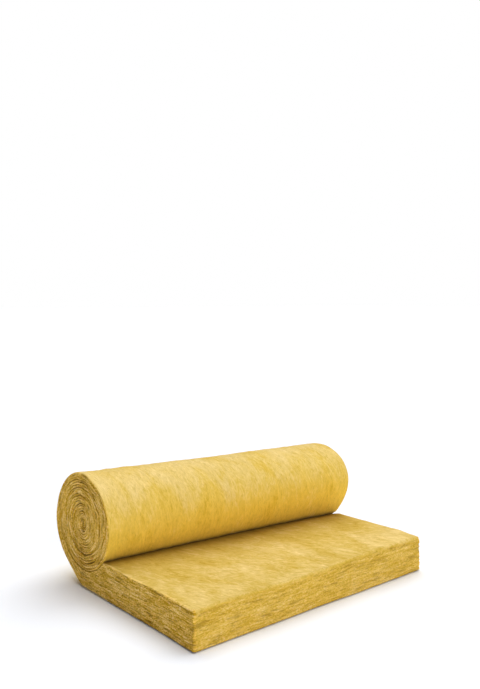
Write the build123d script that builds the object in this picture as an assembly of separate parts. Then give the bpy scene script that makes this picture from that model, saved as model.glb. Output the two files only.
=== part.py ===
# Glass wool insulation blanket, partly unrolled: one piece of stock.
# Millimetres. X runs across the blanket's width, Y back along its length, Z up.
# The flat run lies towards -Y and the roll stands at +Y. The underside is at Z = 0.
from build123d import *
import os
from math import asin, atan2, ceil, cos, degrees, hypot, radians, sin

# The blanket as it lies flat
blanket_width = 1200
blanket_thickness = 140
front_skew = 130  # how far the right end of the hand-cut front edge lies behind the left end
edge_bevel = 6  # softens the four edges of the cut front face

# The roll, measured on its outer face where it comes down on the flat run
roll_centre_back = 770  # from the left front corner, along Y
roll_centre_height = 254
roll_half_width = 209
roll_half_height = 185
wound_thickness = 35.5  # one turn of the squeezed blanket, at the roll's sides

# The heel, where the blanket leaves the floor and turns up into the outer turn
lift_off_back = 755  # from the left front corner, along Y
heel_radius = 120
back_radius = 187

# The eye in the middle of the roll, and the parting that shows between the turns
eye_width = 12
eye_height = 26
parting_gap = 3
parting_depth = 14
parting_mouth = 0.02  # turns by which the parting starts outside the nip
arcs_in_turn = 12

shrink_in_turn = wound_thickness / roll_half_width
nip_angle = degrees(asin((roll_centre_height - blanket_thickness) / roll_half_height))
turns_to_eye = (roll_half_width - eye_height) / wound_thickness
turns_to_back = -(180 + nip_angle) / 360


def wound_point(turns, clearance=0.0):
    """Point of the wound face so many turns inside the nip. Negative turns lie outside it."""
    angle = radians(180 + nip_angle + 360 * turns)
    scale = 1 - shrink_in_turn * turns
    back = (roll_half_width * scale + clearance) * cos(angle)
    up = (roll_half_height * scale + clearance) * sin(angle)
    return Vector(roll_centre_back + back, roll_centre_height + up)


def wound_direction(turns, clearance=0.0):
    """The way in which the wound face runs at that place, on its way in to the eye."""
    nearby = 0.0001
    return (wound_point(turns + nearby, clearance) - wound_point(turns - nearby, clearance)).normalized()


def wound_face(first, last, clearance=0.0):
    """The wound face from one turn number to another, as arcs that run smoothly into each other."""
    count = ceil((last - first) * arcs_in_turn)
    points = [wound_point(first + (last - first) * step / count, clearance) for step in range(count + 1)]
    arcs = []
    direction = wound_direction(first, clearance)
    for start, end in zip(points, points[1:]):
        arcs.append(TangentArc(start, end, tangent=direction))
        direction = arcs[-1] % 1
    return arcs


def blanket_section():
    """The side outline, drawn with its first axis along Y and its second along Z."""
    outer_turn = wound_face(turns_to_back, 0)
    back_point = outer_turn[0] @ 0
    back_way = outer_turn[0] % 0
    back_angle = degrees(atan2(back_way.Y, back_way.X))
    back_centre = back_point + back_way.rotate(Axis.Z, 90) * back_radius
    heel_centre = Vector(lift_off_back, heel_radius)
    between = back_centre - heel_centre
    rise_angle = degrees(atan2(between.Y, between.X))
    rise_angle += degrees(asin((heel_radius - back_radius) / hypot(between.X, between.Y)))
    heel = CenterArc(heel_centre, heel_radius, -90, rise_angle)
    back = CenterArc(back_centre, back_radius, rise_angle - 90, back_angle - rise_angle)
    underside = Line((0, 0), heel @ 0)
    rise = Line(heel @ 1, back @ 0)
    top = Line(outer_turn[-1] @ 1, (0, blanket_thickness))
    front = Line((0, blanket_thickness), (0, 0))
    return make_face([underside, heel, rise, back, *outer_turn, top, front])


def parting_section():
    """The line between the turns, as a narrow strip that winds in from the nip to the eye."""
    outer = wound_face(-parting_mouth, turns_to_eye, parting_gap / 2)
    inner = wound_face(-parting_mouth, turns_to_eye, -parting_gap / 2)
    mouth = Line(inner[0] @ 0, outer[0] @ 0)
    tail = Line(outer[-1] @ 1, inner[-1] @ 1)
    return make_face([mouth, *outer, tail, *inner])


def across_width(section, start, length):
    """Stands a section up in the YZ plane at X = start and extrudes it towards +X."""
    plane = Plane(origin=(start, 0, 0), x_dir=(0, 1, 0), z_dir=(1, 0, 0))
    return extrude(plane * section, amount=length)


def make_blanket():
    """The whole blanket, with its origin on the floor under the middle of its overall box."""
    blanket = across_width(blanket_section(), 0, blanket_width)

    # The front edge is cut by hand, a little out of square.
    offcut = make_face(Polyline((0, 0), (blanket_width, 0), (blanket_width, front_skew), close=True))
    blanket -= extrude(offcut, amount=blanket_thickness)

    # Cut wool has no sharp edges.
    front_face = blanket.faces().sort_by(Axis.Y)[0]
    blanket = chamfer(front_face.edges(), edge_bevel)

    # The squeezed turns part a little at both ends.
    for start in (0, blanket_width - parting_depth):
        blanket -= across_width(parting_section(), start, parting_depth)

    eye = Pos(roll_centre_back, roll_centre_height) * SlotOverall(eye_height, eye_width, rotation=90)
    blanket -= across_width(eye, 0, blanket_width)

    box = blanket.bounding_box()
    return Pos(-box.center().X, -box.center().Y, -box.min.Z) * blanket


wool_blanket = make_blanket()
wool_blanket.label = "wool_blanket"
os.makedirs("parts", exist_ok=True)
export_step(wool_blanket, "parts/wool_blanket.step")
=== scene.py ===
import bpy
import numpy as np
from math import asin, atan2, hypot, pi, radians
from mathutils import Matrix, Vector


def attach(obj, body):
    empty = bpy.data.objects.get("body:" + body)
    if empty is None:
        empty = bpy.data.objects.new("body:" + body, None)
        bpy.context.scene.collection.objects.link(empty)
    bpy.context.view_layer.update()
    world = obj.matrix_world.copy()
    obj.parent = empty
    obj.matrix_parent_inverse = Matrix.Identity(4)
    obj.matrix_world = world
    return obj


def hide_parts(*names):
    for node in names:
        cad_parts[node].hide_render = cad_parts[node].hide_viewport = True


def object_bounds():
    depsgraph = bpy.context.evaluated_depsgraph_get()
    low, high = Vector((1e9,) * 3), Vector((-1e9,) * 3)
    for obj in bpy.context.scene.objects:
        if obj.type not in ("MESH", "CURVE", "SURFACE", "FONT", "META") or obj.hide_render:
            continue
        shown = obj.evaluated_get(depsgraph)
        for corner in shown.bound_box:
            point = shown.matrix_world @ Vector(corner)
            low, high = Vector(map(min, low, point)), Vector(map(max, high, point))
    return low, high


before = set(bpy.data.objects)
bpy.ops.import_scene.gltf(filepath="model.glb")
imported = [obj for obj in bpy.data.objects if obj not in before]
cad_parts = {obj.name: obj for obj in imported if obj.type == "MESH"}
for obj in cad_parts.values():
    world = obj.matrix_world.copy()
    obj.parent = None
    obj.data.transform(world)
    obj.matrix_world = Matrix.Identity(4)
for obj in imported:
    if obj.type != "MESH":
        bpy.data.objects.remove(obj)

cadLow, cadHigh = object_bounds()
frontY = cadLow.y  # where the left front corner is
halfWidth = cadHigh.x
print("frame loaded")

# metres, with lengths measured back from the left front corner and turns counted inwards from the nip
blanket = {
    "thickness": 0.140,
    "frontSkew": 0.130,
    # the roll
    "rollBack": 0.770,
    "rollUp": 0.254,
    "rollHalfWide": 0.209,
    "rollHalfHigh": 0.185,
    "woundTurn": 0.0355,
    "eyeHalfWide": 0.006,
    "eyeHalfHigh": 0.013,
    "unevenTurns": 0.0028,
    "unevenSize": 0.034,
    "unevenStart": (0.02, 0.2),
    "unevenStop": 0.4,
    # the heel, which swells and comes off the floor little by little
    "liftOff": 0.755,
    "heelRadius": 0.120,
    "backRadius": 0.187,
    "heelSwell": 0.013,
    "heelSwellStart": -0.92,
    "heelSwellTurns": 0.44,
    "heelLift": 0.006,
    "heelLiftBack": (0.50, 0.70),
    "heelLiftHigh": 0.09,
    "heelLiftStop": -0.6,
    # how far the roll's top comes forward and its foot goes back at the right end
    "lean": 0.045,
    "leanMiddle": 0.255,
    "leanReach": 0.130,
    "leanBack": (0.45, 0.61),
    "leanTop": (0.145, 0.17),
    "leanFoot": 0.13,
    # where the turns come together
    "nipGap": 0.006,
    "nipTurns": 0.06,
    "nipBlend": 8,
    # a crease that runs part of the way round the roll
    "creaseDepth": 0.0035,
    "creaseReach": 0.007,
    "creaseAcross": -0.10,
    "creaseBend": 0.05,
    "creaseMiddle": -0.22,
    "creaseTurns": 0.11,
    # the skins: height, size across and size along of their forms, from soft dents down to tufts
    "skinForms": (
        (0.0034, 0.34, 0.30),
        (0.0020, 0.085, 0.15),
        (0.0014, 0.028, 0.075),
        (0.0011, 0.014, 0.036),
    ),
    "skinDrop": 0.0020,
    "skinHeight": 0.004,
    "pressedBelow": 0.008,  # the floor presses the skin flat
    "pressedShare": 0.2,
    "settleColumns": 40,  # the skins' forms die away inside the roll
    "raggedEdge": (0.0016, 0.032, 3),  # height, size across, and columns back from the front edge
    "rightLift": 0.006,
    "rightLiftAcross": (0.1, 0.6),
    # the rounding of the edges, which is so many times smaller on the floor
    "softEdge": 0.006,
    "footSharpness": 2.2,
    "frontLip": 0.010,
    "lipUneven": (0.45, 0.05),
    # the cut layers: weight, length and thickness, and the gaps between them
    "layerForms": (
        (0.42, 0.26, 0.0125),
        (0.48, 0.085, 0.0095),
        (0.40, 0.034, 0.0050),
        (0.25, 0.014, 0.0070),
    ),
    "layerBend": 0.005,
    "layerBendSizes": (0.11, 0.11, 0.05),
    "gapSizes": (0.070, 0.070, 0.0066),
    "gapDepth": 1.6,
    "gapStart": 0.36,
    "calmReach": 0.006,  # the relief is calmer near the edges
    "calmLeast": 0.35,
    # the front face
    "frontRelief": 0.0026,
    "frontWaves": 0.004,
    "frontWaveSizes": (0.22, 0.3, 0.12),
    "frontFade": 7,
    "frontHollow": 0.6,
    "frontCut": (0.11, 0.47),  # under the lip, and how much more further down
    "frontCutReach": (0.002, 0.020),
    "frontShade": 0.15,
    "fluffHang": (0.005, 0.026, 0.012),  # reach, size across and size up
    # the ends
    "endSwell": 0.003,
    "rightSwell": 0.004,
    "endRelief": 0.0034,
    "endReliefLost": 0.0018,
    "endRidge": 0.0012,
    "endWaves": 0.004,
    "endWaveSizes": (0.3, 0.22, 0.12),
    "endStretch": 1.1,
    "woundColumns": (-6, 14),
    "squeezedThick": (0.045, 0.100),
    "rimReach": (-0.001, 0.0035),
    # partings between the turns, and thinner splits inside them
    "partingDepth": 0.008,
    "partingReach": 0.0018,
    "partingRidge": (0.0052, 0.0024),  # how far beside the parting, and its reach
    "partingUneven": (0.52, 0.9, 0.06),  # mean, change and size
    "partingLimits": (0.08, 1.1),
    "splitDepth": 0.006,
    "splitReach": 0.0015,
    "splitRidge": (0.0042, 0.0020),
    "splitRidgeShare": 0.7,
    "splitPlaces": (0.33, 0.66),
    "splitWander": (0.13, 0.16),  # change and size
    "splitBreaks": (0.5, 1.6, 0.05),
    "looseSplit": 0.3,
    # what the finish reads: a height from a gap to a ridge, painted darker in the gaps and paler on the
    # ridges as painted shade and light, and a painted shade from light to dark
    "reliefHollow": 0.65,
    "reliefHollowLost": 0.1,
    "ridgeHollow": 1.1,
    "partingHollow": 1.2,
    "splitHollow": 0.9,
    "partingShade": 0.58,
    "splitShade": 0.34,
    "darkestLine": 0.80,
    "footShade": (0.001, 0.006),
    "nipShadeOuter": (0.46, 0.05, 0.26),  # close to the nip, further out, and how far that reaches
    "nipShadeInner": (0.36, 0.44, 0.33),
    "nipShadeClose": 0.026,
    # the eye's rim and inside are darkened with painted shade
    "eyeRim": {"cut": 1, "hollow": -0.8, "shade": 0.25},
    "eyeInside": {"cut": 1, "hollow": -1.2, "shade": 0.65},
    # how finely the wool is meshed
    "flatColumns": 124,
    "flatSpread": 1.12,
    "turnColumns": 120,
    "coarseAfter": 0.30,
    "fineRows": 48,
    "coarseRows": 24,
    "evenRows": 0.8,
    "acrossRows": 146,
    "evenAcross": 0.7,
    "eyeRings": 5,
    "floorColumns": 17,
}

# a random seed for each kind of unevenness
seeds = {
    "skin": (11, 12, 13, 14),
    "raggedEdge": 15,
    "layers": (20, 22, 23, 24),
    "layerBend": 21,
    "gaps": 25,
    "parting": 31,
    "endWaves": 32,
    "frontWaves": 33,
    "splits": ((34, 35), (36, 37)),
    "lip": 41,
    "fluff": 43,
    "turns": 51,
}

nipAngle = asin((blanket["rollUp"] - blanket["thickness"]) / blanket["rollHalfHigh"])
turnsToEye = (blanket["rollHalfWide"] - blanket["eyeHalfWide"]) / blanket["woundTurn"]
backTurn = -(pi + nipAngle) / (2 * pi)
softEdge = blanket["softEdge"]


# smooth random values from -1 to 1 that change over about these sizes
def softNoise(points, sizes, seed):
    cells = 64
    table = np.random.default_rng(seed).uniform(-1, 1, (cells, cells, cells))
    place = points / np.asarray(sizes)
    cell = np.floor(place).astype(int)
    part = place - cell
    part = part * part * (3 - 2 * part)
    total = 0
    for corner in np.ndindex(2, 2, 2):
        at = (cell + corner) % cells
        share = np.prod(np.where(corner, part, 1 - part), axis=-1)
        total = total + share * table[at[..., 0], at[..., 1], at[..., 2]]
    return total


def ease(value, low, high):
    share = np.clip((value - low) / (high - low), 0, 1)
    return share * share * (3 - 2 * share)


# a soft line, so far from where the distances are measured
def bell(distance, middle, reach):
    return np.exp(-(((distance - middle) / reach) ** 2))


# shares from 0 to 1 that lie closer together at both ends
def spread(steps, even):
    share = np.linspace(0, 1, steps + 1)
    return even * share + (1 - even) * (0.5 - 0.5 * np.cos(pi * share))


# back and up on the wound face, that many turns inside the nip
def woundLine(turns):
    angle = pi + nipAngle + 2 * pi * turns
    left = np.clip(1 - turns / turnsToEye, 0, None)
    wide = blanket["eyeHalfWide"] + (blanket["rollHalfWide"] - blanket["eyeHalfWide"]) * left
    high = blanket["eyeHalfHigh"] + (blanket["rollHalfHigh"] - blanket["eyeHalfHigh"]) * left
    back = blanket["rollBack"] + wide * np.cos(angle)
    up = blanket["rollUp"] + high * np.sin(angle)
    return np.stack([back, up], -1)


def arcLine(centre, radius, first, last):
    steps = 24
    angles = np.linspace(first, last, steps)
    return np.stack([centre[0] + radius * np.cos(angles), centre[1] + radius * np.sin(angles)], -1)


# from the floor under the nip, round the heel and up to the back of the roll
def heelLine(shares):
    backPoint = woundLine(np.array([backTurn]))[0]
    heelCentre = (blanket["liftOff"], blanket["heelRadius"])
    backCentre = (backPoint[0] - blanket["backRadius"], backPoint[1])
    apart = (backCentre[0] - heelCentre[0], backCentre[1] - heelCentre[1])
    rise = atan2(apart[1], apart[0]) + asin((blanket["heelRadius"] - blanket["backRadius"]) / hypot(*apart))
    start = [[nipY, 0]]
    heel = arcLine(heelCentre, blanket["heelRadius"], -pi / 2, rise - pi / 2)
    back = arcLine(backCentre, blanket["backRadius"], rise - pi / 2, 0)
    path = np.concatenate([start, heel, back])
    run = np.concatenate([[0], np.cumsum(np.linalg.norm(np.diff(path, axis=0), axis=1))])
    return np.stack([np.interp(shares * run[-1], run, path[:, axis]) for axis in (0, 1)], -1)


# columns: 0 is the front edge, then come the nip's foot and so many columns for each turn
nipColumn = blanket["flatColumns"]
rollColumn = nipColumn + blanket["turnColumns"]
lastColumn = nipColumn + round(blanket["turnColumns"] * (1 + turnsToEye))
coarseColumn = nipColumn + round(blanket["turnColumns"] * blanket["coarseAfter"])
nipColumns = round(blanket["turnColumns"] * blanket["nipTurns"])
lineColumns = np.arange(lastColumn + blanket["turnColumns"] + 1)
turnAt = (lineColumns - rollColumn) / blanket["turnColumns"]
nipY = woundLine(np.array([0.0]))[0][0]


# the blanket's outer line, which is its underside while it lies flat
def makeOuterLine():
    line = woundLine(turnAt)
    onFloor = lineColumns <= nipColumn
    line[onFloor, 0] = nipY * (lineColumns[onFloor] / nipColumn) ** blanket["flatSpread"]
    line[onFloor, 1] = 0
    rising = (lineColumns > nipColumn) & (turnAt < backTurn)
    line[rising] = heelLine((turnAt[rising] + 1) / (backTurn + 1))
    return line


outerLine = makeOuterLine()
along = np.gradient(outerLine, axis=0)
along /= np.maximum(np.linalg.norm(along, axis=1, keepdims=True), 1e-9)
outward = np.stack([along[:, 1], -along[:, 0]], -1)
swellShare = np.clip((turnAt - blanket["heelSwellStart"]) / blanket["heelSwellTurns"], 0, 1)
swell = blanket["heelSwell"] * np.sin(pi * swellShare) ** 2
outerLine = outerLine + outward * swell[:, None]
outerLine[:, 1] = np.maximum(outerLine[:, 1], 0)
lifted = ease(outerLine[:, 0], *blanket["heelLiftBack"]) * (turnAt < blanket["heelLiftStop"])
lifted = lifted * (1 - ease(outerLine[:, 1], 0, blanket["heelLiftHigh"]))
outerLine[:, 1] += blanket["heelLift"] * lifted
# the wound turns aren't quite even
inside = ease(turnAt, *blanket["unevenStart"]) * np.clip((turnsToEye - turnAt) / blanket["unevenStop"], 0, 1)
unevenSizes = (1, blanket["unevenSize"], blanket["unevenSize"])
uneven = softNoise(np.stack([0 * turnAt, outerLine[:, 0], outerLine[:, 1]], -1), unevenSizes, seeds["turns"])
outerLine = outerLine + outward * (blanket["unevenTurns"] * uneven * inside)[:, None]
lengthAt = np.cumsum(np.linalg.norm(np.diff(outerLine, axis=0, prepend=outerLine[:1]), axis=1))

# the two skins, told apart by where their noise is read
outerSkin = 0
innerSkin = 3


# how far a skin stands proud
def skinLift(across, length, skin):
    points = np.stack([across, length, np.full_like(across, 0.5 + skin)], -1)
    lift = 0
    for (height, acrossSize, alongSize), seed in zip(blanket["skinForms"], seeds["skin"]):
        lift = lift + height * softNoise(points, (acrossSize, alongSize, 1), seed)
    return lift - blanket["skinDrop"]


# half the gap at the nip, which closes over the first columns after it
def nipOpening(into):
    return blanket["nipGap"] / 2 * np.where((into >= 0) & (into < 1), 1 - into, 0)


# back and up on the blanket's outer side, at these columns and places across
def outerSide(columns, across):
    onFloor = outerLine[columns, 1] < blanket["pressedBelow"]
    lift = skinLift(across, lengthAt[columns], outerSkin)
    around = (turnAt[columns] - blanket["creaseMiddle"]) / blanket["creaseTurns"]
    creaseAt = blanket["creaseAcross"] + blanket["creaseBend"] * around
    crease = bell(across, creaseAt, blanket["creaseReach"]) * np.clip(1 - around**2, 0, 1)
    lift = lift - blanket["creaseDepth"] * crease
    lift = np.where(onFloor, -np.abs(lift) * blanket["pressedShare"], lift)
    lift = lift * np.clip(1 - (columns - rollColumn) / blanket["settleColumns"], 0, 1)
    lift = lift - nipOpening((columns - rollColumn) / nipColumns)
    section = outerLine[columns] + outward[columns] * lift[..., None]
    section[..., 1] = np.maximum(section[..., 1], 0)
    return section


# back and up on the blanket's inner side, which is its top while it lies flat
def innerSide(columns, across):
    wound = np.minimum(columns + blanket["turnColumns"], len(outerLine) - 1)
    settled = np.clip(1 - (columns - nipColumn) / blanket["settleColumns"], 0, 1)
    lift = skinLift(across, lengthAt[wound], outerSkin) * settled
    lift = lift + nipOpening((columns - nipColumn) / nipColumns)
    rolled = outerLine[wound] + outward[wound] * lift[..., None]
    flatLift = skinLift(across, lengthAt[columns], innerSkin)
    # the front edge is a little ragged
    height, size, fade = blanket["raggedEdge"]
    onAcross = np.stack([across, 0 * across, 0 * across], -1)
    ragged = softNoise(onAcross, (size, 1, 1), seeds["raggedEdge"])
    flatLift = flatLift + height * ragged * np.exp(-columns / fade)
    flatLift = flatLift + blanket["rightLift"] * ease(across, *blanket["rightLiftAcross"])
    blend = ease(nipColumn - columns, 0, blanket["nipBlend"])
    up = blanket["thickness"] + flatLift * blend - blanket["nipGap"] / 2 * (1 - blend)
    top = np.stack([outerLine[columns, 0], up], -1)
    return np.where((columns < nipColumn)[..., None], top, rolled)


# further to the right the roll leans: its foot lies further back and its top further forward
def leanRoll(places):
    back = places[:, 1] - frontY
    up = places[:, 2]
    share = 1 - np.clip((halfWidth - places[:, 0]) / (2 * halfWidth), 0, 1) ** 2
    reach = np.maximum(ease(back, *blanket["leanBack"]), ease(up, *blanket["leanTop"]))
    reach = reach * ease(up, 0, blanket["leanFoot"])
    slope = np.tanh((up - blanket["leanMiddle"]) / blanket["leanReach"])
    leant = places.copy()
    leant[:, 1] -= blanket["lean"] * share * slope * reach
    return leant


# the layers in the cut wool, from about -1 in a gap to 1 on a ridge
def layerRelief(lay):
    bent = lay.copy()
    bent[..., 2] += blanket["layerBend"] * softNoise(lay, blanket["layerBendSizes"], seeds["layerBend"])
    relief = 0
    for (weight, length, thick), seed in zip(blanket["layerForms"], seeds["layers"]):
        relief = relief + weight * softNoise(bent, (length, length, thick), seed)
    start = blanket["gapStart"]
    gaps = np.clip(softNoise(bent, blanket["gapSizes"], seeds["gaps"]) - start, 0, None) / (1 - start)
    return relief - blanket["gapDepth"] * gaps


# depth of a soft round edge, for distances from the edges that meet there
def roundDepth(radius, *distances):
    short = sum(np.clip(radius - distance, 0, radius) ** 2 for distance in distances)
    return radius - np.sqrt(np.clip(radius**2 - short, 0, None))


# the relief is calmer near the edges
def calmNear(distance):
    return np.clip(distance / blanket["calmReach"], blanket["calmLeast"], 1)


# how dark a skin is towards the nip, where little light comes
def nipShade(columns, skin):
    nip = rollColumn if skin == outerSkin else nipColumn
    distance = lengthAt[nip] - lengthAt[np.minimum(columns, nip)]
    near, far, reach = blanket["nipShadeOuter"] if skin == outerSkin else blanket["nipShadeInner"]
    shade = near * np.exp(-distance / blanket["nipShadeClose"]) + far * np.exp(-distance / reach)
    return np.where(columns > nip, 1, shade)


# the lowest edge stands in its own shadow
def footShade(up):
    return 1 - ease(up, *blanket["footShade"])


# a place in the wool on the cut front face
def frontLay(across, up):
    return np.stack([across, 0 * across + 0.001, up], -1)


# how far the cut front face stands back, and its height of relief
def frontDepth(lay, low, high):
    up = lay[..., 2]
    relief = layerRelief(lay)
    change, size = blanket["lipUneven"]
    lip = blanket["frontLip"] * (1 + change * softNoise(lay * [1, 0, 0], (size, 1, 1), seeds["lip"]))
    depth = roundDepth(softEdge, blanket["footSharpness"] * (up - low)) + roundDepth(lip, high - up)
    depth = depth - relief * blanket["frontRelief"] * calmNear(np.minimum(up - low, high - up))
    depth = depth - blanket["frontWaves"] * softNoise(lay, blanket["frontWaveSizes"], seeds["frontWaves"])
    return depth, relief * blanket["frontHollow"]


# carries the front face's skew and relief on into the wool behind it
def behindFront(back, columns, across, depth):
    skew = blanket["frontSkew"] * (across + halfWidth) / (2 * halfWidth)
    back = back + skew * np.clip(1 - columns / nipColumn, 0, 1)
    return back + depth * np.exp(-columns / blanket["frontFade"]) * (columns < nipColumn)


class WoolMesh:
    def __init__(self):
        self.places = []
        self.lays = []  # where each point lies in the blanket: across, along and through it
        self.cuts = []
        self.hollows = []
        self.shades = []
        self.count = 0
        self.faces = []
        self.kinds = []  # which part of the map each face lies on

    # adds points and gives their numbers, in the same shape
    def points(self, place, lay, cut, hollow, shade):
        shape = place.shape[:-1]
        size = int(np.prod(shape))
        self.places.append(place.reshape(size, 3))
        self.lays.append(lay.reshape(size, 3))
        self.cuts.append(np.broadcast_to(cut, shape).reshape(size))
        self.hollows.append(np.broadcast_to(hollow, shape).reshape(size))
        self.shades.append(np.broadcast_to(shade, shape).reshape(size))
        numbers = np.arange(self.count, self.count + size).reshape(shape)
        self.count += size
        return numbers

    def face(self, corners, sign, kind):
        corners = list(dict.fromkeys(corners))
        if len(corners) > 2:
            self.faces.append(corners[::sign])
            self.kinds.append(kind)

    # a sheet of faces, facing out where sign is 1 and its rows and columns turn that way
    def quads(self, numbers, sign, kind):
        corners = np.stack([numbers[:-1, :-1], numbers[1:, :-1], numbers[1:, 1:], numbers[:-1, 1:]], -1)
        for face in corners.reshape(-1, 4).tolist():
            self.face(face, sign, kind)


fineShares = spread(blanket["fineRows"], blanket["evenRows"])
coarseStep = blanket["fineRows"] // blanket["coarseRows"]
coarseShares = fineShares[::coarseStep]
acrossShares = spread(blanket["acrossRows"], blanket["evenAcross"])[1:-1]


# partings between the turns, thinner splits inside them, and the ridges beside both
def endLines(lay, section, shares, thick, wound, shutEdges):
    mean, change, size = blanket["partingUneven"]
    around = np.stack([lay[..., 0], section[..., 0], section[..., 1]], -1)
    uneven = mean + change * softNoise(around, (1, size, size), seeds["parting"])
    uneven = np.clip(uneven, *blanket["partingLimits"])
    parting = split = ridge = 0
    for shut, edge in shutEdges:
        parting = parting + np.where(shut, uneven * bell(edge, 0, blanket["partingReach"]), 0)
        ridge = ridge + np.where(shut, uneven * bell(edge, *blanket["partingRidge"]), 0)
    wander, wanderSize = blanket["splitWander"]
    mean, change, size = blanket["splitBreaks"]
    flatLay = lay * [1, 1, 0]
    for middle, (wanderSeed, breakSeed) in zip(blanket["splitPlaces"], seeds["splits"]):
        splitAt = middle + wander * softNoise(flatLay, (1, wanderSize, 1), wanderSeed)
        aside = np.abs(shares - splitAt) * thick
        broken = np.clip(softNoise(flatLay, (1, size, 1), breakSeed) * change + mean, 0, 1) * wound
        split = split + broken * bell(aside, 0, blanket["splitReach"])
        ridge = ridge + broken * blanket["splitRidgeShare"] * bell(aside, *blanket["splitRidge"])
    return parting, split, ridge


# where the cut face of an end stands, for columns and shares of the thickness
def endPlaces(columns, shares, side):
    across = np.full(np.broadcast(columns, shares).shape, side * halfWidth)
    columns = columns + np.zeros(across.shape, int)
    shares = shares + np.zeros(across.shape)
    outer = outerSide(columns, across)
    inner = innerSide(columns, across)
    section = outer * (1 - shares[..., None]) + inner * shares[..., None]
    back = section[..., 0]
    up = section[..., 1]
    thick = np.linalg.norm(inner - outer, axis=-1)
    outerEdge = shares * thick
    innerEdge = (1 - shares) * thick
    openOuter = columns <= rollColumn + nipColumns
    openInner = columns <= nipColumn + nipColumns
    wound = ease(columns - nipColumn, *blanket["woundColumns"])
    through = shares * np.minimum(thick * blanket["endStretch"], blanket["thickness"])
    lay = np.stack([across, lengthAt[columns], through], -1)
    relief = layerRelief(lay)
    shutEdges = ((~openOuter, outerEdge), (~openInner, innerEdge))
    parting, split, ridge = endLines(lay, section, shares, thick, wound, shutEdges)

    # how far the face stands back
    sharpness = np.where(columns < nipColumn, blanket["footSharpness"], 1)
    fromOuter = np.where(openOuter, outerEdge, 1) * sharpness
    fromInner = np.where(openInner, innerEdge, 1)
    reliefHeight = blanket["endRelief"] - blanket["endReliefLost"] * wound
    calm = calmNear(np.minimum(outerEdge, innerEdge))
    depth = roundDepth(softEdge, fromOuter, fromInner, back)
    depth = depth - relief * calm * reliefHeight - blanket["endRidge"] * ridge
    depth = depth + blanket["partingDepth"] * parting + blanket["splitDepth"] * split
    depth = depth - blanket["endWaves"] * softNoise(lay, blanket["endWaveSizes"], seeds["endWaves"])
    depth = depth - blanket["endSwell"] - blanket["rightSwell"] * (side > 0) * (1 - wound)
    front = frontDepth(frontLay(across, up), outer[..., 1], inner[..., 1])[0]
    back = behindFront(back, columns, across, front)
    place = np.stack([side * (halfWidth - depth), frontY + back, up], -1)

    # the skins' pale edge shows as a thin rim
    outerRim = np.where(openOuter & (columns > nipColumn), outerEdge, 1)
    cut = ease(np.minimum(outerRim, fromInner), *blanket["rimReach"])
    # the splits show most where the wool is squeezed
    squeezed = 1 - ease(thick, *blanket["squeezedThick"])
    shown = blanket["looseSplit"] + (1 - blanket["looseSplit"]) * squeezed
    # the hollow paints the gaps darker and the ridges paler, and the shade darkens the partings and splits:
    # painted shade and light
    hollow = relief * (blanket["reliefHollow"] - blanket["reliefHollowLost"] * wound)
    hollow = hollow + ridge * blanket["ridgeHollow"] - blanket["partingHollow"] * parting
    hollow = hollow - blanket["splitHollow"] * split * shown
    shade = parting * blanket["partingShade"] + split * blanket["splitShade"] * squeezed
    shade = np.maximum(footShade(up), np.clip(shade, 0, blanket["darkestLine"]))
    return place, lay, cut, hollow, shade


# the eye's wool lies well away from all other wool
def eyeLay(across, columns):
    return np.stack([across, lengthAt[columns], 0 * across + 0.6], -1)


# one end: its rows of numbers column by column, its outer line's numbers, and the eye's
def makeEnd(wool, side):
    fine = np.arange(coarseColumn + 1)[:, None]
    coarse = np.arange(coarseColumn + 1, lastColumn)[:, None]
    fineNumbers = wool.points(*endPlaces(fine, fineShares[None, :], side))
    coarseNumbers = wool.points(*endPlaces(coarse, coarseShares[None, :-1], side))
    eyeColumns = np.arange(lastColumn, lastColumn + blanket["turnColumns"])
    rim = np.full(len(eyeColumns), side * (halfWidth - softEdge))
    place = np.stack([rim, frontY + outerLine[eyeColumns, 0], outerLine[eyeColumns, 1]], -1)
    eye = wool.points(place, eyeLay(rim, eyeColumns), **blanket["eyeRim"])
    outerNumbers = np.concatenate([fineNumbers[:, 0], coarseNumbers[:, 0], eye, eye[:1]])
    rows = []
    for column in range(lastColumn + 1):
        if column <= coarseColumn:
            row = list(fineNumbers[column])
        elif column < lastColumn:
            row = [*coarseNumbers[column - coarseColumn - 1], 0]
        else:
            row = [eye[0]] * (blanket["coarseRows"] + 1)
        if column >= nipColumn + nipColumns:  # the parting is shared with the next turn in
            row[-1] = outerNumbers[column + blanket["turnColumns"]]
        rows.append(row)
    kind = "leftEnd" if side < 0 else "rightEnd"
    wool.quads(np.array(rows[: coarseColumn + 1]), side, kind)
    for step in range(blanket["coarseRows"]):  # three faces join each coarse row to two fine ones
        near = rows[coarseColumn][step * coarseStep : (step + 1) * coarseStep + 1]
        low, high = rows[coarseColumn + 1][step : step + 2]
        for corners in ([near[0], low, near[1]], [near[1], low, high], [near[1], high, near[2]]):
            wool.face(corners, side, kind)
    wool.quads(np.array(rows[coarseColumn + 1 :]), side, kind)
    return {"rows": rows, "outer": outerNumbers, "eye": eye}


# one skin's points, from rim to rim
def skinPoints(wool, skin, lastLine, rims):
    side = outerSide if skin == outerSkin else innerSide
    columns = np.arange(lastLine + 1)[:, None] + np.zeros((1, len(acrossShares)), int)
    places = np.concatenate(wool.places)
    leftRim, rightRim = [places[rim, 0][:, None] for rim in rims]
    across = leftRim + (rightRim - leftRim) * acrossShares
    section = side(columns, across)
    low = outerSide(0 * columns[0], across[0])[..., 1]
    high = innerSide(0 * columns[0], across[0])[..., 1]
    front = frontDepth(frontLay(across[0], section[0, :, 1]), low, high)[0]
    back = behindFront(section[..., 0], columns, across, front)
    through = 0 if skin == outerSkin else blanket["thickness"]
    lay = np.stack([across, lengthAt[columns], np.full(across.shape, through)], -1)
    tuft = skinLift(across, lengthAt[columns], skin) / blanket["skinHeight"] + 0.5
    place = np.stack([across, frontY + back, section[..., 1]], -1)
    return wool.points(place, lay, cut=0.0, hollow=tuft, shade=nipShade(columns, skin))


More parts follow.
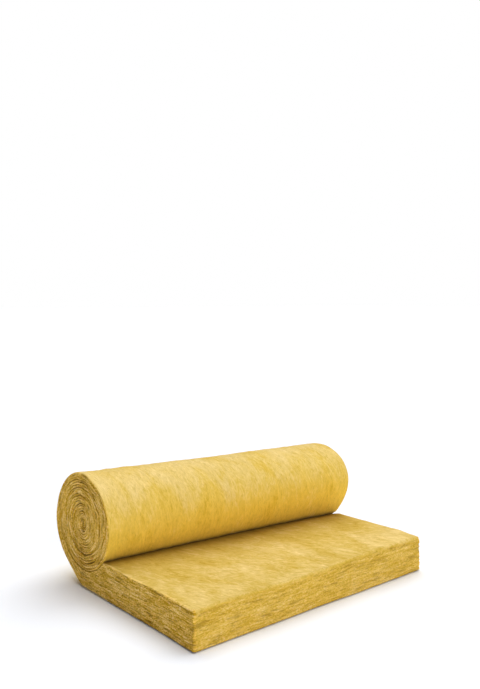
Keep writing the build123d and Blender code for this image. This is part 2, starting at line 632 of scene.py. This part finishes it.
# the skins share the rims' points with both ends
def makeSkins(wool, left, right):
    lastOuter = rollColumn + nipColumns
    lastTop = nipColumn + nipColumns
    edges = [[end["rows"][column][-1] for column in range(lastTop + 1)] for end in (left, right)]
    feet = [end["outer"][: lastOuter + 1] for end in (left, right)]
    outer = skinPoints(wool, outerSkin, lastOuter, feet)
    top = skinPoints(wool, innerSkin, lastTop, edges)
    top[lastTop] = outer[lastOuter]
    outer = np.column_stack([feet[0], outer, feet[1]])
    top = np.column_stack([edges[0], top, edges[1]])
    wool.quads(top, -1, "innerSkin")
    flat = nipColumn + blanket["floorColumns"]
    wool.quads(outer[:3], 1, "outerSkin")
    wool.quads(outer[flat:], 1, "outerSkin")
    wool.quads(outer[3:flat, [0, -1]], 1, "outerSkin")  # flat on the floor, so it needs no points inside
    wool.face([*outer[3, [0]], *outer[3, [-1]], *outer[2, ::-1]], -1, "outerSkin")
    wool.face([*outer[flat - 1, [0]], *outer[flat], *outer[flat - 1, [-1]]], 1, "outerSkin")
    return outer[0], top[0]


# the cut front face, between the ends and the skins' first rows
def makeFront(wool, left, right, lowRow, highRow):
    share = fineShares[None, 1:-1] + np.zeros((len(acrossShares), 1))
    places = np.concatenate(wool.places)
    leftRim, rightRim = [places[end["rows"][0][1:-1], 0] for end in (left, right)]
    across = leftRim + (rightRim - leftRim) * acrossShares[:, None]
    column = np.zeros(across.shape, int)
    low = outerSide(column, across)[..., 1]
    high = innerSide(column, across)[..., 1]
    lay = frontLay(across, low + (high - low) * share)
    up = lay[..., 2]
    depth, relief = frontDepth(lay, low, high)
    back = blanket["frontSkew"] * (across + halfWidth) / (2 * halfWidth) + depth
    # the skin's fluff hangs a little over the cut
    hang, acrossSize, upSize = blanket["fluffHang"]
    below = high - up + hang * softNoise(lay * [1, 0, 1], (acrossSize, 1, upSize), seeds["fluff"])
    least, more = blanket["frontCut"]
    cut = least + more * ease(below, *blanket["frontCutReach"])
    # painted shade over the whole front face, darker still at its foot
    shade = np.maximum(footShade(up), blanket["frontShade"])
    front = np.empty((blanket["acrossRows"] + 1, blanket["fineRows"] + 1), int)
    front[1:-1, 1:-1] = wool.points(np.stack([across, frontY + back, up], -1), lay, cut, relief, shade)
    front[0] = left["rows"][0]
    front[-1] = right["rows"][0]
    front[:, 0] = lowRow
    front[:, -1] = highRow
    wool.quads(front, 1, "front")


# the eye runs right through, as a narrow tube
def makeEye(wool, left, right):
    columns = np.arange(lastColumn, lastColumn + blanket["turnColumns"])
    rings = [left["eye"]]
    for share in np.linspace(0, 1, blanket["eyeRings"] + 2)[1:-1]:
        across = np.full(len(columns), (share * 2 - 1) * (halfWidth - softEdge))
        place = np.stack([across, frontY + outerLine[columns, 0], outerLine[columns, 1]], -1)
        rings.append(wool.points(place, eyeLay(across, columns), **blanket["eyeInside"]))
    rings.append(right["eye"])
    wool.quads(np.array([[*ring, ring[0]] for ring in rings]), 1, "eye")


# where each kind of face starts on the map, in metres across and up
mapStarts = {
    "outerSkin": (0.01, 0.01),
    "leftEnd": (1.25, 0.01),
    "rightEnd": (1.25, 0.49),
    "innerSkin": (1.24, 0.97),
    "front": (1.98, 0.97),
    "eye": (2.16, 0.97),
}
mapSide = 2.30


# each face corner's place on the map: every sheet is laid out flat at one scale
def mapCorners(wool, places):
    corners = np.concatenate(wool.faces)
    kinds = np.repeat(wool.kinds, [len(face) for face in wool.faces])
    lay = np.concatenate(wool.lays)[corners]
    across = lay[:, 0] + halfWidth
    lastTop = lengthAt[nipColumn + nipColumns]
    spots = np.empty((len(corners), 2))
    for kind, start in mapStarts.items():
        on = kinds == kind
        if kind.endswith("End"):
            flat = places[corners[on]][:, 1:] - [frontY, 0]
        elif kind == "outerSkin":
            flat = np.stack([across[on], lay[on, 1]], -1)
        elif kind == "innerSkin":
            flat = np.stack([np.minimum(lay[on, 1], lastTop), across[on]], -1)
        elif kind == "front":
            flat = np.stack([lay[on, 2], across[on]], -1)
        else:  # the eye's last faces close its ring
            ring = (lay[on, 1] - lengthAt[lastColumn]).reshape(-1, 4)
            whole = lengthAt[lastColumn + blanket["turnColumns"]] - lengthAt[lastColumn]
            ring = ring + whole * (ring.max(1, keepdims=True) - ring > whole / 2)
            flat = np.stack([ring.ravel(), across[on]], -1)
        spots[on] = flat + start
    return spots / mapSide


def makeBlanket():
    wool = WoolMesh()
    left = makeEnd(wool, -1)
    right = makeEnd(wool, 1)
    lowRow, highRow = makeSkins(wool, left, right)
    makeFront(wool, left, right, lowRow, highRow)
    makeEye(wool, left, right)
    places = np.concatenate(wool.places)
    spots = mapCorners(wool, places)
    places = leanRoll(places)
    used = np.unique(np.concatenate(wool.faces))
    renumber = np.full(wool.count, -1)
    renumber[used] = np.arange(len(used))
    mesh = bpy.data.meshes.new("woolBlanket")
    mesh.from_pydata(places[used].tolist(), [], [renumber[face].tolist() for face in wool.faces])
    mesh.uv_layers.new(name="OFBake").uv.foreach_set("vector", spots.ravel())
    lays = np.concatenate(wool.lays)[used]
    mesh.attributes.new("lay", "FLOAT_VECTOR", "POINT").data.foreach_set("vector", lays.ravel())
    for name, values in (("cut", wool.cuts), ("hollow", wool.hollows), ("shade", wool.shades)):
        mesh.attributes.new(name, "FLOAT", "POINT").data.foreach_set("value", np.concatenate(values)[used])
    mesh.shade_smooth()
    piece = bpy.data.objects.new("woolBlanket", mesh)
    bpy.context.scene.collection.objects.link(piece)
    return piece


woolBlanket = makeBlanket()
print("blanket meshed:", sum(len(face.vertices) - 2 for face in woolBlanket.data.polygons), "triangles")


# a node socket that can stand in sums
class Wire:
    def __init__(self, nodes, socket):
        self.nodes = nodes
        self.socket = socket

    def __add__(self, other):
        return self.nodes.maths("ADD", self, other)

    def __sub__(self, other):
        return self.nodes.maths("SUBTRACT", self, other)

    def __mul__(self, other):
        return self.nodes.maths("MULTIPLY", self, other)

    def __truediv__(self, other):
        return self.nodes.maths("DIVIDE", self, other)

    def __rsub__(self, other):
        return self.nodes.maths("SUBTRACT", other, self)

    __radd__ = __add__
    __rmul__ = __mul__


class Nodes:
    def __init__(self, tree):
        self.tree = tree
        tree.nodes.clear()

    # any node: its type, its settings, then the values or links of its sockets
    def node(self, kind, settings=None, values=None, output=0):
        made = self.tree.nodes.new(kind)
        for name, value in (settings or {}).items():
            setattr(made, name, value)
        for name, value in (values or {}).items():
            if isinstance(value, Wire):
                self.tree.links.new(value.socket, made.inputs[name])
            else:
                made.inputs[name].default_value = value
        return Wire(self, made.outputs[output]) if made.outputs else made

    def maths(self, operation, first, second):
        return self.node("ShaderNodeMath", {"operation": operation}, {0: first, 1: second})

    def limit(self, value):
        return self.node("ShaderNodeClamp", {}, {"Value": value})

    def attribute(self, name, output=2):
        return self.node("ShaderNodeAttribute", {"attribute_name": name}, {}, output)

    def noise(self, vector, scale, detail=3, rough=0.55, twist=0.0):
        scaled = self.node("ShaderNodeVectorMath", {"operation": "MULTIPLY"}, {0: vector, 1: scale})
        values = {"Vector": scaled, "Scale": 1, "Detail": detail, "Roughness": rough, "Distortion": twist}
        return self.node("ShaderNodeTexNoise", {}, values)

    def turned(self, vector, angle):
        settings = {"rotation_type": "Z_AXIS"}
        return self.node("ShaderNodeVectorRotate", settings, {"Vector": vector, "Angle": angle})

    def scaled(self, colour, share):
        return self.node("ShaderNodeVectorMath", {"operation": "SCALE"}, {0: colour, "Scale": share})

    def mix(self, share, first, second):
        return self.node("ShaderNodeMix", {"data_type": "RGBA"}, {"Factor": share, 6: first, 7: second}, 2)


# colours are linear, and scales are per metre across, along and through the blanket
woolFinish = {
    "gold": (0.87, 0.575, 0.070, 1),  # where the skin faces down or outwards
    "straw": (0.79, 0.555, 0.122, 1),  # where it faces up, as painted top light; random tone brings it in too
    "cream": (0.84, 0.645, 0.29, 1),
    "amber": (0.78, 0.475, 0.024, 1),
    "fleck": (0.50, 0.295, 0.025, 1),
    "wool": (0.83, 0.505, 0.076, 1),
    "woolPale": (0.88, 0.57, 0.112, 1),
    "ridge": (1.00, 0.73, 0.28, 1),
    "olive": (0.56, 0.315, 0.012, 1),
    "gap": (0.22, 0.098, 0.002, 1),
    "paintedShade": (0.15, 0.072, 0.002, 1),
    "binder": (0.72, 0.27, 0.015, 1),
    # noises: scale, detail, roughness and distortion
    "patches": ((9, 4, 9), 4, 0.6, 0.5),
    "brushed": ((46, 13, 46), 3, 0.6, 2.2),
    "strokesLeft": ((170, 34, 170), 2, 0.6, 1.8),
    "strokesRight": ((150, 36, 150), 2, 0.6, 1.8),
    "fluff": ((420, 240, 420), 2, 0.6),
    "dashes": ((18, 18, 185), 4, 0.64, 0.25),
    "folds": ((13, 13, 95), 3, 0.55, 0.3),
    "streaks": ((13, 13, 150), 2, 0.6, 0.25),
    "grain": ((95, 95, 200), 2, 0.6),
    "clusters": ((7, 7, 26), 2, 0.55),
    "tint": ((11, 11, 42), 3, 0.6),
    "specks": ((36, 36, 60), 0),
    "fleckShare": 0.26,
    "gapShare": 0.70,
    "speckShare": 0.7,
    "roughness": 0.9,
    "specular": 0.1,
    "sheen": 0.05,
    "sheenRoughness": 0.3,
    "sheenTint": (1, 0.80, 0.45, 1),
    "bumpStrength": 0.7,
    "bumpDistance": 0.004,
}


def makeWoolFinish():
    finish = woolFinish
    material = bpy.data.materials.new("glassWool")
    material.use_nodes = True
    nodes = Nodes(material.node_tree)
    lay = nodes.attribute("lay", 1)
    cut = nodes.attribute("cut")
    hollow = nodes.attribute("hollow")
    shade = nodes.attribute("shade")
    normal = nodes.node("ShaderNodeNewGeometry", {}, {}, 1)
    facingUp = nodes.node("ShaderNodeSeparateXYZ", {}, {0: normal}, 2)
    onTop = nodes.limit(nodes.node("ShaderNodeSeparateXYZ", {}, {0: lay}, 2) / blanket["thickness"])

    # the skin: pale and golden patches, and strokes along the blanket's length, with painted top light where
    # it faces up
    patches = nodes.noise(lay, *finish["patches"])
    brushed = nodes.noise(nodes.turned(lay, onTop * -0.55 + 0.12), *finish["brushed"])
    strokesLeft = nodes.noise(nodes.turned(lay, onTop * -0.45 + 0.14), *finish["strokesLeft"])
    strokesRight = nodes.noise(nodes.turned(lay, onTop * -0.35 - 0.30), *finish["strokesRight"])
    fluff = nodes.noise(lay, *finish["fluff"])
    strokes = strokesLeft + strokesRight - 1
    tone = (patches - 0.5) * 1.6 + (brushed - 0.5) * (0.9 + onTop * 0.5)
    # painted top light, which the painted shade towards the nip takes away
    light = facingUp * (1 - shade * 2)
    skin = nodes.mix(nodes.limit(light * 0.9 + 0.30 + tone * 0.4), finish["gold"], finish["straw"])
    # cream patches at random, and more where the skin faces up: partly the wool's own tone, partly painted
    # top light
    creamShare = nodes.limit(tone * 1.3 + strokes * 0.4 + light * 0.42 - 0.09 - onTop * 0.07)
    skin = nodes.mix(creamShare, skin, finish["cream"])
    skin = nodes.mix(nodes.limit(tone * -1.6 - strokes * 0.7 - 0.16), skin, finish["amber"])
    skin = nodes.mix(nodes.limit((0.42 - strokesLeft) * 8) * finish["fleckShare"], skin, finish["fleck"])
    # brightness varies at random, and a raised tuft is a little paler: painted light
    bright = 1.02 + strokes * (0.25 - onTop * 0.06) + (fluff - 0.5) * 0.22 + hollow * 0.03
    bright = bright + (brushed - 0.5) * (0.38 + onTop * 0.30) + (patches - 0.5) * (0.16 + onTop * 0.45)
    skin = nodes.scaled(skin, bright)

    # the cut faces: dark dashes and pale ridges along the layers, partly at random and partly painted shade
    # in the hollows and painted light on the ridges
    dashes = nodes.noise(nodes.turned(lay, -0.15), *finish["dashes"])
    folds = nodes.noise(lay, *finish["folds"])
    streaks = nodes.noise(nodes.turned(lay, 0.1), *finish["streaks"])
    grain = nodes.noise(lay, *finish["grain"])
    clusters = nodes.noise(lay, *finish["clusters"])
    tint = nodes.noise(lay, *finish["tint"])
    depth = (streaks - 0.5) * 4.2 + (grain - 0.5) * 4.6 + (folds - 0.5) * 0.4 + hollow * 0.16
    section = nodes.mix(nodes.limit((tint - 0.5) * 4 + 0.5), finish["wool"], finish["woolPale"])
    section = nodes.mix(nodes.limit(depth * -1.8 + 0.06), section, finish["olive"])
    section = nodes.mix(nodes.limit(depth * 1.3 - (dashes - 0.43) * 5 - 0.2), section, finish["ridge"])
    # dark gaps between the layers: dark dashes at random, and painted shade where the relief is hollow
    gaps = nodes.limit((dashes - 0.55) * 9 - hollow * 0.25 - (folds - 0.5) * 1.5 + (clusters - 0.5) * 0.7)
    section = nodes.mix(gaps * finish["gapShare"], section, finish["gap"])

    colour = nodes.mix(nodes.limit(cut), skin, section)
    specks = nodes.limit((nodes.noise(lay, *finish["specks"]) - 0.78) * 8)
    colour = nodes.mix(specks * cut * finish["speckShare"], colour, finish["binder"])
    # painted shade: darker towards the nip, along the partings and splits, at the foot, over the front face
    # and inside the eye
    colour = nodes.mix(nodes.limit(shade), colour, finish["paintedShade"])
    rise = fluff * 0.6 + strokes * (1 - cut) * 0.7 + (streaks + grain * 0.5 - gaps * 0.8) * cut
    bump = nodes.node("ShaderNodeBump", {}, {
        "Height": rise, "Strength": finish["bumpStrength"], "Distance": finish["bumpDistance"],
    })
    shader = nodes.node("ShaderNodeBsdfPrincipled", {}, {
        "Base Color": colour, "Normal": bump,
        "Roughness": finish["roughness"], "Specular IOR Level": finish["specular"],
        "Sheen Weight": finish["sheen"], "Sheen Roughness": finish["sheenRoughness"],
        "Sheen Tint": finish["sheenTint"],
    })
    nodes.node("ShaderNodeOutputMaterial", {}, {"Surface": shader})
    return material


woolBlanket.data.materials.append(makeWoolFinish())
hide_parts("wool_blanket")
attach(woolBlanket, "root")
print("wool finish made")

studio = {
    "floorSize": 300,
    "floorDrop": 0.0015,  # keeps the floor clear of the wool's underside
    "floorColour": (0.945, 0.969, 0.995, 1),
    "floorRoughness": 0.9,
    "skyStrength": 0.08,
    "skyColour": (0.96, 0.95, 1.30, 1),  # cools the shadows, which the wool warms
    # each soft light: degrees from the front towards the right, degrees from overhead, width, strength
    "lights": {"softTop": (121, 24, 72, 3.14), "softFront": (-10, 76.5, 48, 1.67)},
}


def makeFloor():
    half = studio["floorSize"] / 2
    corners = [(-half, -half, 0), (half, -half, 0), (half, half, 0), (-half, half, 0)]
    mesh = bpy.data.meshes.new("studioFloor")
    mesh.from_pydata(corners, [], [(0, 1, 2, 3)])
    floor = bpy.data.objects.new("studioFloor", mesh)
    floor.location.z = cadLow.z - studio["floorDrop"]
    bpy.context.scene.collection.objects.link(floor)
    material = bpy.data.materials.new("paleFloor")
    material.use_nodes = True
    nodes = Nodes(material.node_tree)
    values = {"Base Color": studio["floorColour"], "Roughness": studio["floorRoughness"]}
    shader = nodes.node("ShaderNodeBsdfPrincipled", {}, values)
    nodes.node("ShaderNodeOutputMaterial", {}, {"Surface": shader})
    mesh.materials.append(material)


def makeLights():
    for name, (turn, tilt, width, strength) in studio["lights"].items():
        light = bpy.data.lights.new(name, "SUN")
        light.angle = radians(width)
        light.energy = strength
        sun = bpy.data.objects.new(name, light)
        sun.rotation_euler = (radians(tilt), 0, radians(turn))
        bpy.context.scene.collection.objects.link(sun)


# a dim sky lights the blanket, and a white one is seen behind it
def makeSky():
    world = bpy.data.worlds.new("studioSky")
    world.use_nodes = True
    bpy.context.scene.world = world
    nodes = Nodes(world.node_tree)
    dim = {"Color": studio["skyColour"], "Strength": studio["skyStrength"]}
    lit = nodes.node("ShaderNodeBackground", {}, dim)
    seen = nodes.node("ShaderNodeBackground", {}, {"Color": (1, 1, 1, 1), "Strength": 1})
    inView = nodes.node("ShaderNodeLightPath", {}, {})
    both = nodes.node("ShaderNodeMixShader", {}, {0: inView, 1: lit, 2: seen})
    nodes.node("ShaderNodeOutputWorld", {}, {"Surface": both})


makeFloor()
makeLights()
makeSky()
bpy.context.scene.view_settings.view_transform = "Standard"
print("studio made")

# the photograph's view, worked out from the blanket's edges
view = {
    "fromCorner": (-1.476, -2.192, 1.106),  # from the left front corner of the blanket
    "turn": 37.04,
    "tilt": 2.85,
    "focalPixels": 852.2,
    "longSidePixels": 689,
    "sensor": 36,
}


def makeCamera():
    data = bpy.data.cameras.new("photoCamera")
    data.sensor_width = view["sensor"]
    data.lens = view["focalPixels"] * view["sensor"] / view["longSidePixels"]
    camera = bpy.data.objects.new("photoCamera", data)
    right, back, up = view["fromCorner"]
    camera.location = (right - halfWidth, back + frontY, up)
    camera.rotation_euler = (radians(90 - view["tilt"]), 0, -radians(view["turn"]))
    bpy.context.scene.collection.objects.link(camera)
    bpy.context.scene.camera = camera


makeCamera()
print("camera set")
